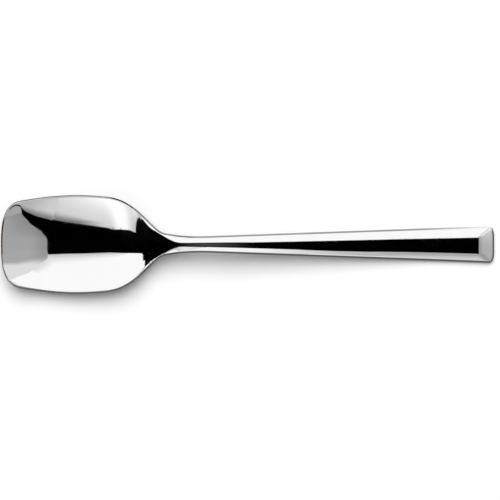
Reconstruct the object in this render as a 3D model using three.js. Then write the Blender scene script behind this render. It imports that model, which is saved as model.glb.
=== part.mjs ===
// Ice cream spoon with a squared shovel bowl and a faceted handle, struck from one blank of stainless steel.
//
// Millimetres, +Z up. X runs along the spoon, from the front edge of the bowl to the end of the handle, and the
// spoon lies on z = 0 as it lies on a table, centred on the origin. A station is a distance along the spoon from
// the front edge. Every curve of the spoon is a chain of straight runs whose corners are softened by a bend.

import * as THREE from "three";

// Plan view: full widths, and the runs between the stations that they are measured at
const OVERALL_LENGTH = 138;
const FRONT_WIDTH = 22.5; // where the sides would meet the front edge if its corners were square
const WIDEST_RUN = 19; // front edge to the widest place of the bowl
const BOWL_WIDTH = 27.6;
const SHOULDER_RUN = 16; // widest place to the shoulder
const SHOULDER_WIDTH = 23.3;
const ROOT_RUN = 9.5; // shoulder to the root of the neck
const ROOT_WIDTH = 7.4;
const NECK_RUN = 7.5; // root to the narrowest place of the neck
const NECK_WIDTH = 4.75;
const HANDLE_END_WIDTH = 10.4;

// Plan view: how far each bend reaches to either side of its station
const SIDE_BEND = 17;
const SHOULDER_BEND = 6.7;
const ROOT_BEND = 2.2;
const NECK_BEND = 7.5;

// Plan view: the rounded corners, as lengths along the spoon and the powers of their curve
const FRONT_CORNER = 6;
const FRONT_CORNER_POWERS = { along: 2.85, across: 2.85 };
const END_CORNER = 1.5;
const END_CORNER_POWERS = { along: 2, across: 5 };

// Side view: heights of the spine, the top line along the middle, above the table
const FRONT_EDGE_HEIGHT = 6.5;
const FLOOR_THICKNESS = 1.8; // the bowl's floor rests on the table
const THROAT_HEIGHT = 7.4; // at the root, where the bowl's rear slope runs out into the neck
const CROWN_HEIGHT = 8.8; // top of the handle's arch, before its bend is softened
const END_THICKNESS = 2.6; // the end of the handle rests on the table

// Side view: runs along the spine, and the reach of its bends
const RAMP_RUN = 11; // front edge to the foot of the front ramp
const RAMP_BEND = 6.8;
const REAR_BEND = 5.2;
const THROAT_BEND = 2.2;
const CROWN_RUN = 16.5; // root of the neck to the crown
const CROWN_BEND = 12;
const REST_RUN = 18; // level end of the handle
const REST_BEND = 9;

// Bowl: depth below the rim, and the cross-section of its floor and walls
const FRONT_DEPTH = 2.7; // at the foot of the ramp
const REAR_DEPTH = 4.4; // at the rear of the floor
const HOLLOW_END_BEFORE_ROOT = 3; // where the hollow runs out
const FLOOR_WIDTH = 4; // level strip along the middle of the bowl
const WALL_POWER = 1.6;

// Thickness of the metal away from the floor and the handle's end
const FRONT_EDGE_THICKNESS = 1;
const RIM_THICKNESS = 0.95;
const THROAT_THICKNESS = 3.2;

// Handle facets: a flat crown along the middle, two flanks and a bevel across the end
const CREASE_START_PAST_SHOULDER = 1; // the creases leave the shoulders here
const CREASE_START_WIDTH = 23;
const CREASE_KNEE_BEFORE_ROOT = 3;
const CREASE_KNEE_WIDTH = 9.2;
const CREASE_KNEE_BEND = 1.5;
const CREASE_THROAT_BEFORE_NECK = 3.1;
const CREASE_THROAT_WIDTH = 0.75;
const CREASE_THROAT_BEND = 2.7;
const CREASE_END_WIDTH = 4.8;
const CREASE_SOFTNESS = 0.25;
const FLANK_ANGLE = 22;
const END_BEVEL = 4.3;
const END_BEVEL_ANGLE = 17;
const MITRE_SOFTNESS = 0.45;

// Edge all round the outline
const EDGE_ROUNDING = 0.5;

// Facets of the solid
const COLUMNS_IN_CROWN = 8; // from the middle line to the rim or crease
const COLUMNS_IN_FLANK = 3; // from there to the rounded edge
const LEAST_FLANK_SHARE = 0.03; // of the half width, kept for the flank's columns where there is no flank
const ROWS_IN_FRONT_CORNER = 7;
const ROWS_IN_RAMP = 6;
const ROWS_IN_FLOOR = 8;
const ROWS_IN_THROAT = 24; // from the start of the shoulder to the narrowest place of the neck
const ROWS_IN_HANDLE = 22;
const ROWS_IN_END = 7;
const GRID_CORNER_SHARE = 0.2; // of a rounded corner's length, where the grid's own corner lies on it
const FACETS_IN_EDGE = 3; // in each quarter turn of the edge's rounding
const FRONT_FADE = 14; // over which the cross lines straighten behind the bowed front edge
const END_FADE = 8;

// Stations worked out from the runs
const shoulderAt = WIDEST_RUN + SHOULDER_RUN;
const rootAt = shoulderAt + ROOT_RUN;
const neckAt = rootAt + NECK_RUN;
const hollowEndAt = rootAt - HOLLOW_END_BEFORE_ROOT;
const crownAt = rootAt + CROWN_RUN;
const restAt = OVERALL_LENGTH - REST_RUN;
const endBevelAt = OVERALL_LENGTH - END_BEVEL;

const flankSlope = Math.tan(THREE.MathUtils.degToRad(FLANK_ANGLE));
const endBevelSlope = Math.tan(THREE.MathUtils.degToRad(END_BEVEL_ANGLE));

// Zero before x = 0 and x itself after it, with the corner softened over the reach on either side.
function softRise(x, reach) {
  const t = THREE.MathUtils.clamp((x + reach) / (2 * reach), 0, 1);
  return reach * t ** 3 * (2 - t) + Math.max(0, x - reach);
}

// Straight runs through { at, value } points, where an inner point's bend softens its corner.
function softLine(points) {
  const slopes = points.slice(1).map((point, i) => (point.value - points[i].value) / (point.at - points[i].at));
  return (station) => {
    let value = points[0].value + slopes[0] * (station - points[0].at);
    for (let i = 1; i < slopes.length; i++) {
      value += (slopes[i] - slopes[i - 1]) * softRise(station - points[i].at, points[i].bend);
    }
    return value;
  };
}

// The same, with the corners pulled out until the softened line runs through the given points.
function softLineThrough(points) {
  const ROUNDS = 60;
  const corners = points.map((point) => ({ ...point }));
  for (let round = 0; round < ROUNDS; round++) {
    const line = softLine(corners);
    const misses = points.map((point) => point.value - line(point.at));
    corners.forEach((corner, i) => {
      corner.value += misses[i];
    });
  }
  return softLine(corners);
}

// Half width of the plan, before the corners are rounded
const sideLine = softLineThrough([
  { at: 0, value: FRONT_WIDTH / 2 },
  { at: WIDEST_RUN, value: BOWL_WIDTH / 2, bend: SIDE_BEND },
  { at: shoulderAt, value: SHOULDER_WIDTH / 2, bend: SHOULDER_BEND },
  { at: rootAt, value: ROOT_WIDTH / 2, bend: ROOT_BEND },
  { at: neckAt, value: NECK_WIDTH / 2, bend: NECK_BEND },
  { at: OVERALL_LENGTH, value: HANDLE_END_WIDTH / 2 },
]);

// Height of the top along the middle: front ramp, floor, rear slope, arch and level end
const spineLine = softLine([
  { at: 0, value: FRONT_EDGE_HEIGHT },
  { at: RAMP_RUN, value: FLOOR_THICKNESS, bend: RAMP_BEND },
  { at: shoulderAt, value: FLOOR_THICKNESS, bend: REAR_BEND },
  { at: rootAt, value: THROAT_HEIGHT, bend: THROAT_BEND },
  { at: crownAt, value: CROWN_HEIGHT, bend: CROWN_BEND },
  { at: restAt, value: END_THICKNESS, bend: REST_BEND },
  { at: OVERALL_LENGTH, value: END_THICKNESS },
]);

// How far the rim stands above the spine: nothing at the front edge, nothing along the handle
const depthLine = softLine([
  { at: 0, value: 0 },
  { at: RAMP_RUN, value: FRONT_DEPTH, bend: RAMP_BEND },
  { at: shoulderAt, value: REAR_DEPTH, bend: REAR_BEND },
  { at: hollowEndAt, value: 0, bend: THROAT_BEND },
  { at: OVERALL_LENGTH, value: 0 },
]);

// Thickness of the metal along the middle
const thicknessLine = softLine([
  { at: 0, value: FRONT_EDGE_THICKNESS },
  { at: RAMP_RUN, value: FLOOR_THICKNESS, bend: RAMP_BEND },
  { at: shoulderAt, value: FLOOR_THICKNESS, bend: REAR_BEND },
  { at: rootAt, value: THROAT_THICKNESS, bend: THROAT_BEND },
  { at: restAt, value: END_THICKNESS, bend: REST_BEND },
  { at: OVERALL_LENGTH, value: END_THICKNESS },
]);

// Half width of the flat crown, out to the creases where the flanks turn down
const creaseLine = softLine([
  { at: shoulderAt + CREASE_START_PAST_SHOULDER, value: CREASE_START_WIDTH / 2 },
  { at: rootAt - CREASE_KNEE_BEFORE_ROOT, value: CREASE_KNEE_WIDTH / 2, bend: CREASE_KNEE_BEND },
  { at: neckAt - CREASE_THROAT_BEFORE_NECK, value: CREASE_THROAT_WIDTH / 2, bend: CREASE_THROAT_BEND },
  { at: OVERALL_LENGTH, value: CREASE_END_WIDTH / 2 },
]);

// Share of the half width that a rounded corner leaves at a distance from its end of the spoon.
function cornerShare(distance, length, powers) {
  const left = Math.max(0, 1 - distance / length);
  return (1 - left ** powers.along) ** (1 / powers.across);
}

// Half width of the outline at a station.
function halfWidth(station) {
  const front = cornerShare(station, FRONT_CORNER, FRONT_CORNER_POWERS);
  const end = cornerShare(OVERALL_LENGTH - station, END_CORNER, END_CORNER_POWERS);
  return sideLine(station) * front * end;
}

// Station between two others where the outline has a given half width.
function stationOfWidth(width, narrow, wide) {
  const HALVINGS = 50;
  let low = narrow;
  let high = wide;
  for (let i = 0; i < HALVINGS; i++) {
    const middle = (low + high) / 2;
    if (halfWidth(middle) < width) {
      low = middle;
    } else {
      high = middle;
    }
  }
  return (low + high) / 2;
}

// Height of a struck sheet that is level across the handle and hollow in the bowl, up to the rim at a half width.
function struckHeight(station, across, rimHalfWidth) {
  const floorShare = FLOOR_WIDTH / BOWL_WIDTH;
  const share = Math.abs(across) / rimHalfWidth;
  const wall = Math.max(0, (share - floorShare) / (1 - floorShare));
  return spineLine(station) + depthLine(station) * wall ** WALL_POWER;
}

// Half width of the rim, which follows the inner side of the rounded edge, leaves it at the shoulders and runs on
// as the creases of the handle.
function rimLine(station) {
  const STEP = 0.01;
  const slope = (sideLine(station + STEP) - sideLine(station - STEP)) / (2 * STEP);
  const inner = sideLine(station) - EDGE_ROUNDING * Math.hypot(1, slope);
  return inner - softRise(inner - creaseLine(station), CREASE_SOFTNESS);
}

// Top of the spoon, with the flanks and the end bevel, which meet in a soft mitre.
function topHeight(station, across) {
  const rim = rimLine(station);
  const pastRim = softRise(Math.abs(across) - rim, CREASE_SOFTNESS);
  const flankDrop = flankSlope * pastRim;
  const endDrop = endBevelSlope * softRise(station - endBevelAt, CREASE_SOFTNESS);
  const drop = flankDrop + softRise(endDrop - flankDrop, MITRE_SOFTNESS);
  const mitreRest = softRise(0, MITRE_SOFTNESS);
  return struckHeight(station, Math.abs(across) - pastRim, rim) - Math.max(0, drop - mitreRest);
}

// Underside: a sheet struck out to the whole outline, less its thickness, which thins towards the bowl's rim.
function bottomHeight(station, across) {
  const STEP = 0.01;
  const struck = (at, place) => struckHeight(at, place, sideLine(at));
  const along = (struck(station + STEP, across) - struck(station - STEP, across)) / (2 * STEP);
  const sideways = (struck(station, across + STEP) - struck(station, across - STEP)) / (2 * STEP);
  const bowlShare = depthLine(station) / REAR_DEPTH;
  const share = Math.abs(across) / sideLine(station);
  const middle = thicknessLine(station);
  const thickness = middle - (middle - RIM_THICKNESS) * bowlShare * share ** 2;
  return struck(station, across) - thickness * Math.hypot(1, along, sideways);
}

// Stations of the cross lines, closest together where the outline turns.
function crossStations(firstAt, lastAt) {
  const spans = [
    { to: FRONT_CORNER, rows: ROWS_IN_FRONT_CORNER },
    { to: RAMP_RUN, rows: ROWS_IN_RAMP },
    { to: shoulderAt - SHOULDER_BEND, rows: ROWS_IN_FLOOR },
    { to: neckAt, rows: ROWS_IN_THROAT },
    { to: endBevelAt - CREASE_SOFTNESS, rows: ROWS_IN_HANDLE },
    { to: lastAt, rows: ROWS_IN_END },
  ];
  const stations = [firstAt];
  for (const span of spans) {
    const from = stations[stations.length - 1];
    for (let i = 1; i <= span.rows; i++) {
      stations.push(from + ((span.to - from) * i) / span.rows);
    }
  }
  return stations;
}

// Places of the columns across the spoon at a point of its side, from -1 to 1, with one on each rim or crease.
function columnShares(side) {
  const crownShare = Math.min(1 - LEAST_FLANK_SHARE, rimLine(side.x) / side.y);
  const half = [];
  for (let i = 1; i <= COLUMNS_IN_CROWN; i++) {
    half.push((crownShare * i) / COLUMNS_IN_CROWN);
  }
  for (let i = 1; i <= COLUMNS_IN_FLANK; i++) {
    half.push(crownShare + ((1 - crownShare) * i) / COLUMNS_IN_FLANK);
  }
  const mirrored = half.map((share) => -share).reverse();
  return [...mirrored, 0, ...half];
}

// A point of the outline with its inward direction in plan.
function sidePoint(station, side) {
  const STEP = 1e-4;
  const slope = (halfWidth(station + STEP) - halfWidth(station - STEP)) / (2 * STEP);
  const inward = new THREE.Vector2(slope, -side).normalize();
  return { point: new THREE.Vector2(station, side * halfWidth(station)), inward };
}

// The same on the bowed front edge (sense 1) or on the handle's end (sense -1), where across is the place.
function endPoint(across, sense, edgeAt) {
  const STEP = 1e-3;
  const slope = (edgeAt(across + STEP) - edgeAt(across - STEP)) / (2 * STEP);
  const inward = new THREE.Vector2(sense, -sense * slope).normalize();
  return { point: new THREE.Vector2(edgeAt(across), across), inward };
}

// The spoon as one closed surface: a grid over the top, one over the underside and a rounded band between them.
function spoonGeometry() {
  const frontCornerAt = FRONT_CORNER * GRID_CORNER_SHARE;
  const endCornerAt = OVERALL_LENGTH - END_CORNER * GRID_CORNER_SHARE;
  const frontEdge = (across) => stationOfWidth(Math.abs(across), 0, FRONT_CORNER);
  const endEdge = (across) => stationOfWidth(Math.abs(across), OVERALL_LENGTH, OVERALL_LENGTH - END_CORNER);
  const stations = crossStations(frontCornerAt, endCornerAt);
  const lastRow = stations.length - 1;
  const insetPoint = ({ point, inward }, distance) => point.clone().addScaledVector(inward, distance);

  // Points along the side, inside the rounded edge, and the columns at each of them
  const sides = stations.map((station) => insetPoint(sidePoint(station, 1), EDGE_ROUNDING));
  const shares = sides.map(columnShares);
  const lastColumn = shares[0].length - 1;

  // Outline point for a cell on the border of the grid
  const borderPoint = (row, column) => {
    if (row > 0 && row < lastRow) {
      return sidePoint(stations[row], column === 0 ? -1 : 1);
    }
    if (row === 0) {
      return endPoint(shares[0][column] * halfWidth(frontCornerAt), 1, frontEdge);
    }
    return endPoint(shares[lastRow][column] * halfWidth(endCornerAt), -1, endEdge);
  };

  // Places in plan of the whole grid, inside the rounded edge
  const front = shares[0].map((share, column) => insetPoint(borderPoint(0, column), EDGE_ROUNDING));
  const end = shares[lastRow].map((share, column) => insetPoint(borderPoint(lastRow, column), EDGE_ROUNDING));
  const gridPoint = (row, column) => {
    const side = sides[row];
    const frontPull = Math.max(0, 1 - (side.x - sides[0].x) / FRONT_FADE) ** 2;
    const endPull = Math.max(0, 1 - (sides[lastRow].x - side.x) / END_FADE) ** 2;
    const frontShift = front[column].y / sides[0].y - shares[0][column];
    const endShift = end[column].y / sides[lastRow].y - shares[lastRow][column];
    const share = shares[row][column] + frontPull * frontShift + endPull * endShift;
    const bow = frontPull * (front[column].x - sides[0].x) + endPull * (end[column].x - sides[lastRow].x);
    return new THREE.Vector2(side.x + bow, side.y * share);
  };

  const positions = [];
  const addVertex = (plan, height) => {
    positions.push(plan.x - OVERALL_LENGTH / 2, plan.y, height);
    return positions.length / 3 - 1;
  };

  const top = [];
  const bottom = [];
  for (let row = 0; row <= lastRow; row++) {
    const points = shares[row].map((share, column) => gridPoint(row, column));
    top.push(points.map((plan) => addVertex(plan, topHeight(plan.x, plan.y))));
    bottom.push(points.map((plan) => addVertex(plan, bottomHeight(plan.x, plan.y))));
  }

  // Cells round the border, anticlockwise from above.
  const border = [];
  for (let row = 0; row < lastRow; row++) {
    border.push([row, 0]);
  }
  for (let column = 0; column < lastColumn; column++) {
    border.push([lastRow, column]);
  }
  for (let row = lastRow; row > 0; row--) {
    border.push([row, lastColumn]);
  }
  for (let column = lastColumn; column > 0; column--) {
    border.push([0, column]);
  }

  // Rings of the rounded edge, from the border of the top grid over the outline to that of the underside.
  const rings = [border.map(([row, column]) => top[row][column])];
  for (let ring = 1; ring < 2 * FACETS_IN_EDGE; ring++) {
    const turn = ((1 - ring / FACETS_IN_EDGE) * Math.PI) / 2;
    const inset = EDGE_ROUNDING * (1 - Math.cos(turn));
    rings.push(
      border.map(([row, column]) => {
        const outline = borderPoint(row, column);
        const inner = insetPoint(outline, EDGE_ROUNDING);
        const middle = (topHeight(inner.x, inner.y) + bottomHeight(inner.x, inner.y)) / 2;
        const plan = insetPoint(outline, inset);
        const surface = turn > 0 ? topHeight(plan.x, plan.y) : bottomHeight(plan.x, plan.y);
        return addVertex(plan, middle + (surface - middle) * Math.abs(Math.sin(turn)));
      }),
    );
  }
  rings.push(border.map(([row, column]) => bottom[row][column]));

  const indices = [];
  for (let row = 0; row < lastRow; row++) {
    for (let column = 0; column < lastColumn; column++) {
      const next = column + 1;
      const lower = column < lastColumn / 2;
      for (const [sheet, faceUp] of [[top, true], [bottom, false]]) {
        const [a, b, c, d] = [sheet[row][column], sheet[row + 1][column], sheet[row + 1][next], sheet[row][next]];
        const triangles = lower ? [a, b, d, b, c, d] : [a, b, c, a, c, d];
        indices.push(...(faceUp ? triangles : triangles.reverse()));
      }
    }
  }
  for (let ring = 1; ring < rings.length; ring++) {
    for (let cell = 0; cell < border.length; cell++) {
      const next = (cell + 1) % border.length;
      const [upper, lower] = [rings[ring - 1], rings[ring]];
      indices.push(upper[cell], lower[cell], lower[next], upper[cell], lower[next], upper[next]);
    }
  }

  const geometry = new THREE.BufferGeometry();
  geometry.setAttribute("position", new THREE.Float32BufferAttribute(positions, 3));
  geometry.setIndex(indices);
  geometry.computeVertexNormals();
  return geometry;
}

const polishedSteel = new THREE.MeshStandardMaterial({ color: 0xe4e4e3, metalness: 1, roughness: 0.06 });

const spoon = new THREE.Mesh(spoonGeometry(), polishedSteel);
spoon.name = "spoon";

const group = new THREE.Group();
group.add(spoon);

export default group;
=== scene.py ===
"""Studio scene of the ice cream spoon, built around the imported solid.

The spoon's finished surface is a fine smooth mesh, made by the same curves as the solid, in mirror-polished
steel. It lies on a white floor under a soft key light, and mirrors a white studio with dark flags and grey
cards above it.
"""

from typing import NamedTuple

import bpy
import numpy as np
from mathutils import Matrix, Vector


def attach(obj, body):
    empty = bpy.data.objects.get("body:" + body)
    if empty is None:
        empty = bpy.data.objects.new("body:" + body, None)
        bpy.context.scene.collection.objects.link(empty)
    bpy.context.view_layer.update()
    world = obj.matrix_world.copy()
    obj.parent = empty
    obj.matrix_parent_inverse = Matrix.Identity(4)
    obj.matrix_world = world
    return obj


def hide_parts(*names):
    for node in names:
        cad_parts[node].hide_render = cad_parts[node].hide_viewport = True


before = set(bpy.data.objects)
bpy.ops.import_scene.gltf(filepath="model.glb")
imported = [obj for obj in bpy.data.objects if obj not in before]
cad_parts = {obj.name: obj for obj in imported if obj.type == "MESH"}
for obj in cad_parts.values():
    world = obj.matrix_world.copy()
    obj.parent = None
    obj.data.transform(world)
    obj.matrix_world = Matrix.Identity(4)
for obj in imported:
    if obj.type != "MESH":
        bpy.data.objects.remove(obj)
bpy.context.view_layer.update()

MM = 0.001

# Plan view in millimetres: full widths, and the runs between the stations that they are measured at
OVERALL_LENGTH = 138
FRONT_WIDTH = 22.5
WIDEST_RUN = 19
BOWL_WIDTH = 27.6
SHOULDER_RUN = 16
SHOULDER_WIDTH = 23.3
ROOT_RUN = 9.5
ROOT_WIDTH = 7.4
NECK_RUN = 7.5
NECK_WIDTH = 4.75
HANDLE_END_WIDTH = 10.4
SIDE_BEND = 17
SHOULDER_BEND = 6.7
ROOT_BEND = 2.2
NECK_BEND = 7.5

# Rounded corners of the plan: lengths along the spoon and the powers of their curve, along and across
FRONT_CORNER = 6
FRONT_CORNER_POWERS = (2.85, 2.85)
END_CORNER = 1.5
END_CORNER_POWERS = (2, 5)

# Side view: heights of the spine, runs along it and the reach of its bends
FRONT_EDGE_HEIGHT = 6.5
FLOOR_THICKNESS = 1.8
THROAT_HEIGHT = 7.4
CROWN_HEIGHT = 8.8
END_THICKNESS = 2.6
RAMP_RUN = 11
RAMP_BEND = 6.8
REAR_BEND = 5.2
THROAT_BEND = 2.2
CROWN_RUN = 16.5
CROWN_BEND = 12
REST_RUN = 18
REST_BEND = 9

# Bowl: depth below the rim, floor and walls, and the metal's thickness
FRONT_DEPTH = 2.7
REAR_DEPTH = 4.4
HOLLOW_END_BEFORE_ROOT = 3
FLOOR_WIDTH = 4
WALL_POWER = 1.6
FRONT_EDGE_THICKNESS = 1
RIM_THICKNESS = 0.95
THROAT_THICKNESS = 3.2

# Handle facets, which start at the shoulders, and the rounded edge all round the outline
CREASE_START_PAST_SHOULDER = 1
CREASE_START_WIDTH = 23
CREASE_KNEE_BEFORE_ROOT = 3
CREASE_KNEE_WIDTH = 9.2
CREASE_KNEE_BEND = 1.5
CREASE_THROAT_BEFORE_NECK = 3.1
CREASE_THROAT_WIDTH = 0.75
CREASE_THROAT_BEND = 2.7
CREASE_END_WIDTH = 4.8
CREASE_SOFTNESS = 0.25
FLANK_ANGLE = 22
END_BEVEL = 4.3
END_BEVEL_ANGLE = 17
MITRE_SOFTNESS = 0.45
EDGE_ROUNDING = 0.5

# Mesh: its fineness, and the runs in millimetres over which its rows bend to the bowed ends
COLUMNS_IN_CROWN = 28
COLUMNS_IN_FLANK = 12
COLUMN_CROWDING = 1.7  # how closely the columns crowd to the rim or crease: 1 is evenly
LEAST_FLANK_SHARE = 0.03
ROWS_IN_FRONT_CORNER = 24
ROWS_IN_RAMP = 24
ROWS_IN_FLOOR = 40
ROWS_IN_THROAT = 90
ROWS_IN_HANDLE = 110
ROWS_IN_END = 26
GRID_CORNER_SHARE = 0.2
FACETS_IN_EDGE = 7
FRONT_FADE = 14
END_FADE = 8

# Camera, straight above: what the image's middle and its width show
VIEW_CENTRE = Vector((0.62, -1.57, 6)) * MM
VIEW_WIDTH = 139.8 * MM
CAMERA_DISTANCE = 2.0
CAMERA_CLIP_END = 10
SENSOR_WIDTH = 36

# Polished steel: its two tints, and its roughness from and to over a range of the handling noise
STEEL_TINTS = ((0.93, 0.935, 0.94, 1), (0.965, 0.963, 0.958, 1))
STEEL_ROUGHNESS = (0.035, 0.075)
HANDLING_RANGE = (0.35, 0.75)

# Waves and lines of the polish: depths in millimetres, and how closely the lines lie along and across
WAVE_DEPTH = 0.012
LINE_DEPTH = 0.0006
LINE_SCALE = (0.12, 3.5, 3.5)

# Floor: its width in metres, its paint, and the white that it shows where no shadow falls
FLOOR_SIZE = 6.0
FLOOR_WHITE = 0.96
FLOOR_SHOWN = 1.02

# Light on the floor: the key's share, its direction and size in degrees, and the share from all round
KEY_LEVEL = 0.74
KEY_ELEVATION = 62
KEY_AZIMUTH = -14
KEY_SIZE = 50
AMBIENT_LEVEL = 0.26

# Grades of light on a card: two places along an axis, and the levels there

def even(level):
    """Grade of one level all over."""
    return ((0, 1), (level, level))


EVEN = even(1)
DARK = even(0)


class Card(NamedTuple):
    """Level card over the spoon: its height, its corners in plan, and its grades along the two axes.

    It hangs over a place, turned by some degrees, and its corners and grades are measured from there.
    """
    height: float
    corners: list
    x_grade: tuple = EVEN
    y_grade: tuple = EVEN
    over: tuple = (0, 0)
    turn: float = 0


# Ceiling that the steel mirrors, over the middle of the spoon: heights in metres, the rest in shares of them
CEILING_CARDS = {
    "dark_strip": Card(
        height=3.88,
        corners=[
            (0.22, 0.18), (0, 0.175), (-0.036, 0.157), (-0.06, 0.166), (-0.6, 0.295), (-1.2, 0.405),
            (-1.88, 0.505), (-2.5, 0.505), (-2.5, -1.5), (-1.54, -1.36), (-1.5, -1.2), (-1.5, -0.63),
            (-1.1, -0.72), (-0.84, -0.68), (-0.345, -0.575), (-0.1, -0.525), (-0.066, -0.527),
            (-0.06, -0.538), (0, -0.546), (0.3, -0.555), (0.35, -0.5), (0.35, -0.225), (0.29, -0.14),
            (0.22, 0)],
        x_grade=DARK),
    "grey_front": Card(
        height=3.92,
        corners=[
            (0.22, 0.18), (0.22, 0), (0.29, -0.14), (0.35, -0.225), (0.35, -0.5), (1.6, -0.55), (1.6, 0.15)],
        x_grade=((0.3, 0.75), (0.3, 0.38)),
        y_grade=((-0.5, 0.2), (0.7, 1.08))),
    "rear_band": Card(
        height=3.92,
        corners=[(-0.1, -0.5), (-0.42, -0.55), (-0.42, -0.8), (-0.1, -0.72)],
        x_grade=((-0.1, -0.35), (0.72, 0.95))),
    "far_side": Card(
        height=3.96,
        corners=[(0.45, 0.1), (0.45, 0.5), (-0.8, 0.5), (-0.8, 0.1)],
        y_grade=((0.12, 0.5), (0.55, 1))),
    "rear_side": Card(
        height=3.96,
        corners=[(-0.35, -0.3), (-2, -0.3), (-2, -4), (-0.35, -4)],
        x_grade=((-0.5, -1.2), (1.04, 0.6)),
        turn=-15),
    "near_side": Card(
        height=4,
        corners=[(1.6, -0.45), (-1.2, -0.45), (-1.2, -4), (1.6, -4)],
        x_grade=((0.05, -0.5), (0.6, 1.08)),
        y_grade=((-0.53, -0.76), (0.27, 1))),
}

# Flags and cards close over the spoon, in millimetres: where two overlap, the lower one shows
HANDLE_FLAG_HEIGHT = 30
FRONT_FLAG_HEIGHT = 9
FRONT_CARD_OVER = (-54.9, -1.95)
END_CARD_HEIGHT = 60
END_CARD_OVER = (67, 0)
CORNER_LINE = [(-60.85, 7.6), (-61.5, 8.75), (-62.15, 9.25), (-63.4, 9.7), (-64.3, 9.58), (-65.1, 9.05)]
CLOSE_CARDS = {
    # Black stripe along the handle, and the light on its two flanks
    "throat_flag": Card(
        height=HANDLE_FLAG_HEIGHT,
        corners=[(-26, -4), (-13, -4), (-13, 4), (-26, 4)],
        x_grade=((-25, -14), (0, 0.05))),
    "handle_flag": Card(
        height=HANDLE_FLAG_HEIGHT,
        corners=[
            (-13, -4), (10, -4), (22, -18), (30, -20.5), (40, -21), (52, -18.5), (70, -21), (70, 4),
            (-13, 4)],
        x_grade=((-13, 8), (0.05, 0))),
    "far_handle_card": Card(
        height=10,
        corners=[(-17, 0.8), (1, 0.56), (15.5, 0.83), (66, 1.98), (66, 5), (-17, 5)]),
    "near_handle_card": Card(
        height=HANDLE_FLAG_HEIGHT,
        corners=[
            (-24, -30), (44, -30), (44, -21.5), (30, -21), (22, -18.5), (10, -14), (0, -12.5), (-13, -11.5)],
        x_grade=((0, 42), (0.97, 0.5))),
    # Band at the foot of the bowl's far wall, from grey to pale
    "band_card": Card(
        height=80,
        corners=[
            (-51.3, -36.2), (-48.6, -37), (-45.8, -37.9), (-43.8, -38.4), (-43.8, -52), (-46, -48.3),
            (-48.8, -44.5), (-51.3, -42)],
        x_grade=((-52.5, -44.3), (0.33, 0.75)),
        y_grade=((-36, -45), (0.78, 1))),
    # Black tongue towards the bowl's far front corner, and the greys of the corner and the wall beside it
    "front_flag": Card(
        height=FRONT_FLAG_HEIGHT,
        corners=CORNER_LINE + [
            (-65.1, 9.35), (-64.3, 9.87), (-63.4, 10), (-62.05, 9.55), (-61.3, 8.75), (-60.4, 7.8),
            (-59.3, 6.9), (-58.3, 6.2), (-57.4, 5.5), (-56.2, 4.6), (-55.1, 3.9), (-53.6, 3), (-53.6, 2),
            (-54.9, 1.95), (-55.2, 1.85), (-56, 2.6), (-57.3, 3.75), (-58.6, 5.1), (-60.15, 6.5)],
        x_grade=DARK),
    "corner_card": Card(
        height=FRONT_FLAG_HEIGHT,
        corners=CORNER_LINE + [(-66, 8.6), (-66, 7.4), (-62.5, 7.4), (-60.7, 7.2)],
        x_grade=even(0.39)),
    "wall_card": Card(
        height=9.05,
        corners=[(-5, -0.8), (7.9, -0.8), (4.7, 6), (-5, 6)],
        x_grade=((0, 6), (0.97, 1.3)),
        y_grade=((-0.35, 1), (0.18, 0.49)),
        over=(-60.4, 7.8),
        turn=-32.4),
    # Edges of the black at the rear of the bowl
    "far_rear_flag": Card(
        height=10,
        corners=[(-37.6, 0), (-29, 0), (-29, 5.5), (-31.5, 4.9), (-34, 3.1), (-36.7, 1.75), (-37.4, 1.25)],
        x_grade=DARK),
    "near_rear_flag": Card(
        height=9,
        corners=[
            (-37.65, -0.42), (-37.13, -0.62), (-36.56, -0.9), (-35.92, -1.27), (-35.03, -1.78),
            (-33.23, -2.5), (-32.8, -2.9), (-31.8, -3.8), (-30, -5.3), (-27.6, -7.5), (-29.3, -5.2),
            (-31.3, -2.9), (-34.2, -0.8), (-36.5, 0.2)],
        x_grade=DARK),
    # Fade from the grey of the front ramp to the white on its near side
    "front_card": Card(
        height=8,
        corners=[
            (0.25, 0.3), (0.1, -0.2), (-0.4, -0.45), (-1.9, -1.15), (-3.3, -2), (-5.65, -2.85), (-8.2, -3.25),
            (-11.7, -3.8), (-15, -5), (-15, 3.5), (-12, 3.5), (-4, 1.6), (-1, 1)],
        x_grade=((0, -3), (0.82, 1)),
        y_grade=((0.2, -1.1), (0.4, 0.76)),
        over=FRONT_CARD_OVER,
        turn=18.5),
    "left_front_card": Card(
        height=7.98,
        corners=[(-8, -2), (0, -2), (0, 2.5), (-8, 2.5)],
        y_grade=((0.29, -1.01), (0.4, 0.76)),
        over=(-61.97, -4.41),
        turn=7.9),
    "fade_card": Card(
        height=7.95,
        corners=[
            (0.3, -0.23), (-2.3, -0.24), (-3.84, -0.46), (-5.02, -0.49), (-4.4, -1.03), (-3.6, -1.8),
            (0.3, -1.8)],
        x_grade=((-5.2, -3.6), (1.25, 1)),
        y_grade=((-0.2, -1.8), (0.76, 1)),
        over=FRONT_CARD_OVER,
        turn=43),
    # Grey of the handle's end bevel, and of the near flank before it
    "end_card": Card(
        height=END_CARD_HEIGHT,
        corners=[(18, -6), (7.2, -18), (7.2, -42), (45, -42), (45, 39), (18, 39)],
        x_grade=((21, 44.4), (0.34, 0.47)),
        y_grade=((-1.8, 12), (0.95, 2.1)),
        over=END_CARD_OVER),
    "flank_card": Card(
        height=END_CARD_HEIGHT,
        corners=[(-36, -78), (12, -78), (12, -42), (-36, -42)],
        x_grade=((-30, -3), (0.9, 0.66)),
        y_grade=((-57.3, -60.9), (0.6, 1.02)),
        over=END_CARD_OVER),
}

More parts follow.
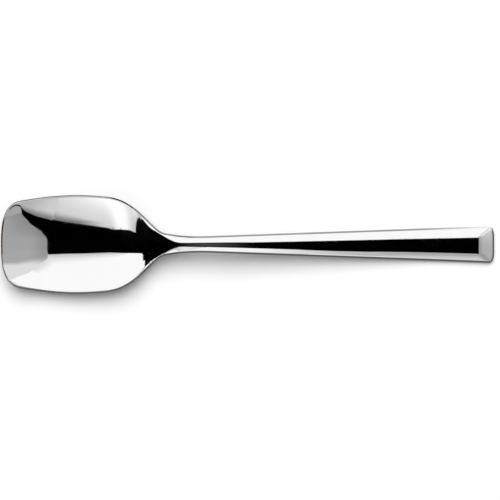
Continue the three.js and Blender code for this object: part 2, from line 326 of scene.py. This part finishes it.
# Low flags round the spoon that draw its edges, in metres: those beside its far edge change along it
FLAG_HEIGHT = 0.02
FLAG_LEFT = -0.09
FLAG_RIGHT = 0.09
FLAG_REACH = 0.03
FLOOR_FLAG_HEIGHT = 0.0001
FAR_FLAG_FADE = (0.046, 0.07)
FAR_FLAG_ENDS = (FLAG_LEFT, -0.078, -0.036, -0.017, FLAG_RIGHT)
FAR_FLAG_LEVELS = ((0.02, 0.02), (0.3, 0.3), (0, 0), (0.34, 0.9))
FAR_FLOOR_FLAG_ENDS = (FLAG_LEFT, -0.07, -0.038, -0.026, FLAG_RIGHT)
FAR_FLOOR_FLAG_LEVELS = ((0.02, 0.02), (0.25, 0.25), (0, 0), (0.34, 0.9))
# Level of the near flags. On the floor beside the spoon it is painted shade in the mirror, for the floor's
# cast shadow there.
NEAR_FLAG_LEVEL = 0.1
END_FLAG_HEIGHT = 0.012
END_FLAG_LEVEL = 0.02
END_FLOOR_FLAG_AT = 0.066
END_FLOOR_FLAG_SIDES = (-0.005, 0.005)

# Stations along the spoon and slopes that follow from its sizes, and the step that slopes are measured over
SHOULDER_AT = WIDEST_RUN + SHOULDER_RUN
ROOT_AT = SHOULDER_AT + ROOT_RUN
HOLLOW_END_AT = ROOT_AT - HOLLOW_END_BEFORE_ROOT
NECK_AT = ROOT_AT + NECK_RUN
CROWN_AT = ROOT_AT + CROWN_RUN
REST_AT = OVERALL_LENGTH - REST_RUN
END_BEVEL_AT = OVERALL_LENGTH - END_BEVEL
FLANK_SLOPE = np.tan(np.radians(FLANK_ANGLE))
END_BEVEL_SLOPE = np.tan(np.radians(END_BEVEL_ANGLE))
SLOPE_STEP = 0.01


# Curves of the spoon

def soft_rise(x, reach):
    """Zero before x = 0 and x itself after it, with the corner softened over the reach on either side."""
    t = np.clip((x + reach) / (2 * reach), 0, 1)
    return reach * t**3 * (2 - t) + np.maximum(0, x - reach)


def soft_line(points):
    """Straight runs through (at, value, bend) points, where an inner point's bend softens its corner."""
    slopes = [(b[1] - a[1]) / (b[0] - a[0]) for a, b in zip(points, points[1:])]

    def line(station):
        value = points[0][1] + slopes[0] * (station - points[0][0])
        for i in range(1, len(slopes)):
            at, _, bend = points[i]
            value = value + (slopes[i] - slopes[i - 1]) * soft_rise(station - at, bend)
        return value

    return line


def soft_line_through(points, rounds=60):
    """The same, with the corners pulled out until the softened line runs through the given points."""
    corners = [list(point) for point in points]
    for _ in range(rounds):
        line = soft_line(corners)
        misses = [point[1] - line(point[0]) for point in points]
        for corner, miss in zip(corners, misses):
            corner[1] += miss
    return soft_line(corners)


side_line = soft_line_through([
    (0, FRONT_WIDTH / 2, 0),
    (WIDEST_RUN, BOWL_WIDTH / 2, SIDE_BEND),
    (SHOULDER_AT, SHOULDER_WIDTH / 2, SHOULDER_BEND),
    (ROOT_AT, ROOT_WIDTH / 2, ROOT_BEND),
    (NECK_AT, NECK_WIDTH / 2, NECK_BEND),
    (OVERALL_LENGTH, HANDLE_END_WIDTH / 2, 0),
])
spine_line = soft_line([
    (0, FRONT_EDGE_HEIGHT, 0),
    (RAMP_RUN, FLOOR_THICKNESS, RAMP_BEND),
    (SHOULDER_AT, FLOOR_THICKNESS, REAR_BEND),
    (ROOT_AT, THROAT_HEIGHT, THROAT_BEND),
    (CROWN_AT, CROWN_HEIGHT, CROWN_BEND),
    (REST_AT, END_THICKNESS, REST_BEND),
    (OVERALL_LENGTH, END_THICKNESS, 0),
])
depth_line = soft_line([
    (0, 0, 0),
    (RAMP_RUN, FRONT_DEPTH, RAMP_BEND),
    (SHOULDER_AT, REAR_DEPTH, REAR_BEND),
    (HOLLOW_END_AT, 0, THROAT_BEND),
    (OVERALL_LENGTH, 0, 0),
])
thickness_line = soft_line([
    (0, FRONT_EDGE_THICKNESS, 0),
    (RAMP_RUN, FLOOR_THICKNESS, RAMP_BEND),
    (SHOULDER_AT, FLOOR_THICKNESS, REAR_BEND),
    (ROOT_AT, THROAT_THICKNESS, THROAT_BEND),
    (REST_AT, END_THICKNESS, REST_BEND),
    (OVERALL_LENGTH, END_THICKNESS, 0),
])
crease_line = soft_line([
    (SHOULDER_AT + CREASE_START_PAST_SHOULDER, CREASE_START_WIDTH / 2, 0),
    (ROOT_AT - CREASE_KNEE_BEFORE_ROOT, CREASE_KNEE_WIDTH / 2, CREASE_KNEE_BEND),
    (NECK_AT - CREASE_THROAT_BEFORE_NECK, CREASE_THROAT_WIDTH / 2, CREASE_THROAT_BEND),
    (OVERALL_LENGTH, CREASE_END_WIDTH / 2, 0),
])


def corner_share(distance, length, powers):
    """Share of the half width that a rounded corner leaves at a distance from its end of the spoon."""
    left = np.maximum(0, 1 - distance / length)
    return np.maximum(0, 1 - left ** powers[0]) ** (1 / powers[1])


def half_width(station):
    """Half width of the outline at a station."""
    front = corner_share(station, FRONT_CORNER, FRONT_CORNER_POWERS)
    end = corner_share(OVERALL_LENGTH - station, END_CORNER, END_CORNER_POWERS)
    return side_line(station) * front * end


def station_of_width(width, narrow, wide, halvings=50):
    """Stations between two others where the outline has the given half widths."""
    low = np.full_like(width, narrow)
    high = np.full_like(width, wide)
    for _ in range(halvings):
        middle = (low + high) / 2
        too_narrow = half_width(middle) < width
        low = np.where(too_narrow, middle, low)
        high = np.where(too_narrow, high, middle)
    return (low + high) / 2


def struck_height(station, across, rim):
    """Height of a struck sheet, level across the handle and hollow in the bowl, out to a rim's half width."""
    floor_share = FLOOR_WIDTH / BOWL_WIDTH
    wall = np.maximum(0, (np.abs(across) / rim - floor_share) / (1 - floor_share))
    return spine_line(station) + depth_line(station) * wall**WALL_POWER


def rim_line(station):
    """Half width of the rim inside the bowl's rounded edge, which runs on as the creases of the handle."""
    slope = (side_line(station + SLOPE_STEP) - side_line(station - SLOPE_STEP)) / (2 * SLOPE_STEP)
    inner = side_line(station) - EDGE_ROUNDING * np.hypot(1, slope)
    return inner - soft_rise(inner - crease_line(station), CREASE_SOFTNESS)


def top_height(station, across):
    """Top of the spoon, with the flanks and the end bevel, which meet in a soft mitre."""
    rim = rim_line(station)
    past_rim = soft_rise(np.abs(across) - rim, CREASE_SOFTNESS)
    flank_drop = FLANK_SLOPE * past_rim
    end_drop = END_BEVEL_SLOPE * soft_rise(station - END_BEVEL_AT, CREASE_SOFTNESS)
    drop = flank_drop + soft_rise(end_drop - flank_drop, MITRE_SOFTNESS)
    mitre_rest = soft_rise(0, MITRE_SOFTNESS)
    return struck_height(station, np.abs(across) - past_rim, rim) - np.maximum(0, drop - mitre_rest)


def bottom_height(station, across):
    """Underside: a sheet struck out to the outline, less its thickness, which thins to the bowl's rim."""
    def struck(at, place):
        return struck_height(at, place, side_line(at))

    run = 2 * SLOPE_STEP
    along = (struck(station + SLOPE_STEP, across) - struck(station - SLOPE_STEP, across)) / run
    sideways = (struck(station, across + SLOPE_STEP) - struck(station, across - SLOPE_STEP)) / run
    bowl_share = depth_line(station) / REAR_DEPTH
    share = np.abs(across) / side_line(station)
    middle = thickness_line(station)
    thickness = middle - (middle - RIM_THICKNESS) * bowl_share * share**2
    return struck(station, across) - thickness * np.sqrt(1 + along**2 + sideways**2)


# Mesh of the spoon

def cross_stations(first_at, last_at):
    """Stations of the cross lines, closest together where the outline turns."""
    spans = [
        (FRONT_CORNER, ROWS_IN_FRONT_CORNER),
        (RAMP_RUN, ROWS_IN_RAMP),
        (SHOULDER_AT - SHOULDER_BEND, ROWS_IN_FLOOR),
        (NECK_AT, ROWS_IN_THROAT),
        (END_BEVEL_AT - CREASE_SOFTNESS, ROWS_IN_HANDLE),
        (last_at, ROWS_IN_END),
    ]
    stations = [first_at]
    for to, rows in spans:
        stations.extend(np.linspace(stations[-1], to, rows + 1)[1:])
    return np.array(stations)


def column_shares(inner):
    """Places of the columns across the spoon, from -1 to 1, crowded to the rim or crease of each row."""
    crown_share = np.minimum(1 - LEAST_FLANK_SHARE, rim_line(inner[:, 0]) / inner[:, 1])[:, None]
    in_crown = 1 - (1 - np.arange(1, COLUMNS_IN_CROWN + 1) / COLUMNS_IN_CROWN) ** COLUMN_CROWDING
    in_flank = (np.arange(1, COLUMNS_IN_FLANK + 1) / COLUMNS_IN_FLANK) ** COLUMN_CROWDING
    half = np.hstack([crown_share * in_crown, crown_share + (1 - crown_share) * in_flank])
    return np.hstack([-half[:, ::-1], np.zeros_like(crown_share), half])


def unit(vectors):
    """The same directions with a length of one."""
    return vectors / np.linalg.norm(vectors, axis=1, keepdims=True)


def side_points(stations, side):
    """Points of the outline, with their inward directions in plan."""
    step = 1e-4
    slope = (half_width(stations + step) - half_width(stations - step)) / (2 * step)
    points = np.column_stack([stations, side * half_width(stations)])
    return points, unit(np.column_stack([slope, np.full_like(slope, -side)]))


def end_points(across, sense, edge_at):
    """The same on the bowed front edge (sense 1) or on the handle's end (sense -1)."""
    step = 1e-3
    slope = (edge_at(across + step) - edge_at(across - step)) / (2 * step)
    points = np.column_stack([edge_at(across), across])
    return points, unit(np.column_stack([np.full_like(slope, sense), -sense * slope]))


def quads(a, b, c, d):
    """Faces from four arrays of corners."""
    return np.stack([a, b, c, d], axis=-1).reshape(-1, 4)


def spoon_mesh():
    """The spoon as one closed surface: grids over its top and its underside, and a rounded band between."""
    front_corner_at = FRONT_CORNER * GRID_CORNER_SHARE
    end_corner_at = OVERALL_LENGTH - END_CORNER * GRID_CORNER_SHARE
    stations = cross_stations(front_corner_at, end_corner_at)
    left, left_inward = side_points(stations, 1)
    right, right_inward = side_points(stations, -1)
    inner = left + EDGE_ROUNDING * left_inward
    shares = column_shares(inner)

    front, front_inward = end_points(
        shares[0] * half_width(front_corner_at), 1,
        lambda across: station_of_width(np.abs(across), 0, FRONT_CORNER))
    end, end_inward = end_points(
        shares[-1] * half_width(end_corner_at), -1,
        lambda across: station_of_width(np.abs(across), OVERALL_LENGTH, OVERALL_LENGTH - END_CORNER))

    # Places in plan of the whole grid, which bends to the bowed ends
    front_inner = front + EDGE_ROUNDING * front_inward
    end_inner = end + EDGE_ROUNDING * end_inward
    front_pull = np.maximum(0, 1 - (inner[:, :1] - inner[0, 0]) / FRONT_FADE) ** 2
    end_pull = np.maximum(0, 1 - (inner[-1, 0] - inner[:, :1]) / END_FADE) ** 2
    share = shares + front_pull * (front_inner[:, 1] / inner[0, 1] - shares[0])
    share = share + end_pull * (end_inner[:, 1] / inner[-1, 1] - shares[-1])
    x = inner[:, :1] + front_pull * (front_inner[:, 0] - inner[0, 0])
    x = x + end_pull * (end_inner[:, 0] - inner[-1, 0])
    y = inner[:, 1:] * share

    # Outline points and grid cells round the border, anticlockwise from above
    cells = np.arange(x.size).reshape(x.shape)
    border = np.concatenate([cells[:-1, 0], cells[-1, :-1], cells[:0:-1, -1], cells[0, :0:-1]])
    outline = np.concatenate([front[:1], right[1:-1], end, left[-2:0:-1], front[:0:-1]])
    inward = np.concatenate(
        [front_inward[:1], right_inward[1:-1], end_inward, left_inward[-2:0:-1], front_inward[:0:-1]])
    edge_inner = outline + EDGE_ROUNDING * inward
    middle = (top_height(*edge_inner.T) + bottom_height(*edge_inner.T)) / 2

    points = [
        np.column_stack([x.ravel(), y.ravel(), top_height(x, y).ravel()]),
        np.column_stack([x.ravel(), y.ravel(), bottom_height(x, y).ravel()]),
    ]
    rings = [border]
    for ring in range(1, 2 * FACETS_IN_EDGE):
        turn = (1 - ring / FACETS_IN_EDGE) * np.pi / 2
        plan = outline + EDGE_ROUNDING * (1 - np.cos(turn)) * inward
        surface = top_height(*plan.T) if turn > 0 else bottom_height(*plan.T)
        points.append(np.column_stack([plan, middle + (surface - middle) * abs(np.sin(turn))]))
        rings.append(2 * x.size + (ring - 1) * len(border) + np.arange(len(border)))
    rings.append(x.size + border)

    top = quads(cells[:-1, :-1], cells[1:, :-1], cells[1:, 1:], cells[:-1, 1:])
    faces = [top, top[:, ::-1] + x.size]
    for upper, lower in zip(rings, rings[1:]):
        faces.append(quads(upper, lower, np.roll(lower, -1), np.roll(upper, -1)))

    places = np.concatenate(points) - (OVERALL_LENGTH / 2, 0, 0)
    mesh = bpy.data.meshes.new("polished_spoon")
    mesh.from_pydata((places * MM).tolist(), [], np.concatenate(faces).tolist())
    mesh.shade_smooth()
    return mesh


# Materials

def node_maker(tree):
    """A function that adds a node, sets its properties and inputs, and links the inputs that are sockets."""
    def make(kind, settings=(), **inputs):
        node = tree.nodes.new(kind)
        for name, value in dict(settings).items():
            setattr(node, name, value)
        for name, value in inputs.items():
            socket = node.inputs[name.replace("_", " ")]
            if isinstance(value, bpy.types.NodeSocket):
                tree.links.new(value, socket)
            else:
                socket.default_value = value
        return node

    return make


def empty_material(name):
    """New material with no nodes yet."""
    material = bpy.data.materials.new(name)
    material.use_nodes = True
    material.node_tree.nodes.clear()
    return material


def polished_steel():
    """Mirror-polished stainless steel, with slow waves, faint lines along it and a trace of handling."""
    material = empty_material("polished_steel")
    make = node_maker(material.node_tree)
    place = make("ShaderNodeTexCoord").outputs["Object"]
    in_mm = make("ShaderNodeMapping", Vector=place, Scale=(1 / MM, 1 / MM, 1 / MM)).outputs["Vector"]
    along = make("ShaderNodeMapping", Vector=in_mm, Scale=LINE_SCALE).outputs["Vector"]

    waves = make("ShaderNodeTexNoise", Vector=in_mm, Scale=0.11, Detail=1.0, Roughness=0.4)
    lines = make("ShaderNodeTexNoise", Vector=along, Scale=1.0, Detail=3.0, Roughness=0.6)
    handling = make("ShaderNodeTexNoise", Vector=in_mm, Scale=0.16, Detail=4.0, Roughness=0.65,
                    Distortion=0.6)

    tint = make("ShaderNodeMix", {"data_type": "RGBA"}, Factor=handling.outputs["Fac"])
    tint.inputs["A"].default_value = STEEL_TINTS[0]
    tint.inputs["B"].default_value = STEEL_TINTS[1]
    gloss = make("ShaderNodeMapRange", Value=handling.outputs["Fac"],
                 From_Min=HANDLING_RANGE[0], From_Max=HANDLING_RANGE[1],
                 To_Min=STEEL_ROUGHNESS[0], To_Max=STEEL_ROUGHNESS[1])

    wavy = make("ShaderNodeBump", Height=waves.outputs["Fac"], Strength=1.0, Distance=WAVE_DEPTH * MM)
    lined = make("ShaderNodeBump", Height=lines.outputs["Fac"], Strength=1.0, Distance=LINE_DEPTH * MM,
                 Normal=wavy.outputs["Normal"])
    steel = make("ShaderNodeBsdfPrincipled", Metallic=1.0, Base_Color=tint.outputs["Result"],
                 Roughness=gloss.outputs["Result"], Normal=lined.outputs["Normal"])
    make("ShaderNodeOutputMaterial", Surface=steel.outputs["BSDF"])
    return material


def shown_rays(make):
    """One for the rays that show a background, straight or through gloss or glass, and zero for the rest."""
    path = make("ShaderNodeLightPath").outputs
    direct = make("ShaderNodeMath", {"operation": "MAXIMUM"})
    direct.id_data.links.new(path["Is Camera Ray"], direct.inputs[0])
    direct.id_data.links.new(path["Is Glossy Ray"], direct.inputs[1])
    shown = make("ShaderNodeMath", {"operation": "MAXIMUM"})
    shown.id_data.links.new(direct.outputs["Value"], shown.inputs[0])
    shown.id_data.links.new(path["Is Transmission Ray"], shown.inputs[1])
    return shown.outputs["Value"]


def floor_white():
    """Matt white floor, lifted the last step to white where it is seen."""
    material = empty_material("floor_white")
    make = node_maker(material.node_tree)
    paint = make("ShaderNodeBsdfDiffuse", Color=(FLOOR_WHITE, FLOOR_WHITE, FLOOR_WHITE, 1))
    lift = make("ShaderNodeMath", {"operation": "MULTIPLY"})
    material.node_tree.links.new(shown_rays(make), lift.inputs[0])
    lift.inputs[1].default_value = FLOOR_SHOWN - FLOOR_WHITE
    glow = make("ShaderNodeEmission", Strength=lift.outputs["Value"])
    both = make("ShaderNodeAddShader")
    material.node_tree.links.new(paint.outputs["BSDF"], both.inputs[0])
    material.node_tree.links.new(glow.outputs["Emission"], both.inputs[1])
    make("ShaderNodeOutputMaterial", Surface=both.outputs["Shader"])
    return material


def card_surface(name, x_grade, y_grade):
    """Card whose glow is the product of its two grades."""
    material = empty_material(name)
    make = node_maker(material.node_tree)
    places = make("ShaderNodeSeparateXYZ", Vector=make("ShaderNodeTexCoord").outputs["Object"]).outputs

    def grade(place, ends, levels):
        return make("ShaderNodeMapRange", {"interpolation_type": "SMOOTHSTEP"}, Value=place, From_Min=ends[0],
                    From_Max=ends[1], To_Min=levels[0], To_Max=levels[1]).outputs["Result"]

    glow = make("ShaderNodeEmission", Color=grade(places["X"], *x_grade),
                Strength=grade(places["Y"], *y_grade))
    make("ShaderNodeOutputMaterial", Surface=glow.outputs["Emission"])
    return material


# Stage

def add_object(name, mesh, material):
    """Object of a mesh in one material."""
    piece = bpy.data.objects.new(name, mesh)
    mesh.materials.append(material)
    bpy.context.scene.collection.objects.link(piece)
    return piece


def add_card(name, points, x_grade, y_grade=EVEN):
    """Card or flag that only the steel's mirror sees."""
    mesh = bpy.data.meshes.new(name)
    mesh.from_pydata(points, [], [range(len(points))])
    card = add_object(name, mesh, card_surface(name, x_grade, y_grade))
    card.visible_camera = False
    card.visible_diffuse = False
    card.visible_shadow = False
    return card


def add_level_card(name, card, height, scale):
    """Level card at a height, with its place, its corners and its grades in the given scale."""
    corners = [(x * scale, y * scale, 0) for x, y in card.corners]
    grades = []
    for places, levels in (card.x_grade, card.y_grade):
        grades.append(([place * scale for place in places], levels))
    piece = add_card(name, corners, *grades)
    piece.location = (card.over[0] * scale, card.over[1] * scale, height)
    piece.rotation_euler.z = np.radians(card.turn)


def add_edge_flag(name, start, end, grade, height=FLAG_HEIGHT):
    """Low upright card on the floor, from one place to another."""
    corners = [(*start, 0), (*end, 0), (*end, height), (*start, height)]
    add_card(name, corners, grade)


def add_floor_flag(name, x_ends, y_ends, grade, layer=1):
    """Card that lies on the floor from under the spoon out to one side, for the lowest part of an edge."""
    corners = [(x_ends[0], y_ends[0]), (x_ends[1], y_ends[0]), (x_ends[1], y_ends[1]), (x_ends[0], y_ends[1])]
    add_card(name, [(x, y, layer * FLOOR_FLAG_HEIGHT) for x, y in corners], grade)


def build_cards():
    """Ceiling over the spoon, and the flags and cards close over it."""
    for name, card in CEILING_CARDS.items():
        add_level_card(name, card, card.height, card.height)
    for name, card in CLOSE_CARDS.items():
        add_level_card(name, card, card.height * MM, MM)


def build_edge_flags():
    """Low flags that draw the edges of the spoon."""
    for i, (levels, floor_levels) in enumerate(zip(FAR_FLAG_LEVELS, FAR_FLOOR_FLAG_LEVELS)):
        start, end = FAR_FLAG_ENDS[i:i + 2]
        add_edge_flag(f"far_flag_{i}", (start, FLAG_REACH), (end, FLAG_REACH), (FAR_FLAG_FADE, levels))
        ends = FAR_FLOOR_FLAG_ENDS[i:i + 2]
        add_floor_flag(f"far_floor_flag_{i}", ends, (0, FLAG_REACH), (FAR_FLAG_FADE, floor_levels))
    near_grade = even(NEAR_FLAG_LEVEL)
    add_edge_flag("near_flag", (FLAG_LEFT, -FLAG_REACH), (FLAG_RIGHT, -FLAG_REACH), near_grade)
    # Dark sheet on the floor beside the near edge, seen only in the mirror. It is painted shade in the
    # reflection: mostly the floor's cast shadow there, partly dark surroundings.
    add_floor_flag("near_floor_shade_flag", (FLAG_LEFT, FLAG_RIGHT), (-FLAG_REACH, 0), near_grade)
    add_edge_flag("front_edge_flag", (FLAG_LEFT, -FLAG_REACH), (FLAG_LEFT, FLAG_REACH), DARK)
    end_grade = even(END_FLAG_LEVEL)
    add_edge_flag("end_flag", (FLAG_RIGHT, -FLAG_REACH), (FLAG_RIGHT, FLAG_REACH), end_grade, END_FLAG_HEIGHT)
    add_floor_flag("end_floor_flag", (END_FLOOR_FLAG_AT, FLAG_RIGHT), END_FLOOR_FLAG_SIDES, end_grade,
                   layer=2)


def build_world():
    """White studio where it is seen, and the dimmer light that comes from all round."""
    world = bpy.data.worlds.new("studio")
    bpy.context.scene.world = world
    world.use_nodes = True
    world.node_tree.nodes.clear()
    make = node_maker(world.node_tree)
    level = make("ShaderNodeMapRange", Value=shown_rays(make), To_Min=AMBIENT_LEVEL, To_Max=1.0)
    around = make("ShaderNodeBackground", Color=(1, 1, 1, 1), Strength=level.outputs["Result"])
    make("ShaderNodeOutputWorld", Surface=around.outputs["Background"])


def build_key_light():
    """Large soft key from behind the spoon, which lights the floor to its share of white."""
    elevation = np.radians(KEY_ELEVATION)
    azimuth = np.radians(KEY_AZIMUTH)
    key = bpy.data.lights.new("key", "SUN")
    key.energy = KEY_LEVEL * np.pi / np.sin(elevation)
    key.angle = np.radians(KEY_SIZE)
    lamp = bpy.data.objects.new("key", key)
    level_share = np.cos(elevation)
    aim = Vector((-np.sin(azimuth) * level_share, -np.cos(azimuth) * level_share, -np.sin(elevation)))
    lamp.rotation_euler = aim.to_track_quat("-Z", "Y").to_euler()
    lamp.visible_glossy = False
    bpy.context.scene.collection.objects.link(lamp)


def build_floor():
    """White floor, far wider than the view."""
    mesh = bpy.data.meshes.new("floor")
    half = FLOOR_SIZE / 2
    corners = [(-half, -half, 0), (half, -half, 0), (half, half, 0), (-half, half, 0)]
    mesh.from_pydata(corners, [], [range(len(corners))])
    add_object("floor", mesh, floor_white())


def build_camera():
    """Camera straight above the spoon."""
    data = bpy.data.cameras.new("camera")
    data.sensor_width = SENSOR_WIDTH
    data.lens = SENSOR_WIDTH * CAMERA_DISTANCE / VIEW_WIDTH
    data.clip_end = CAMERA_CLIP_END
    camera = bpy.data.objects.new("camera", data)
    camera.location = VIEW_CENTRE + Vector((0, 0, CAMERA_DISTANCE))
    bpy.context.scene.collection.objects.link(camera)
    bpy.context.scene.camera = camera


def build_spoon():
    """Finished spoon, which rides on the only body and stands for the solid."""
    spoon = add_object("polished_spoon", spoon_mesh(), polished_steel())
    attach(spoon, "root")
    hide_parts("spoon")


build_camera()
build_spoon()
build_floor()
build_world()
build_key_light()
build_cards()
build_edge_flags()
bpy.context.scene.view_settings.view_transform = "Standard"
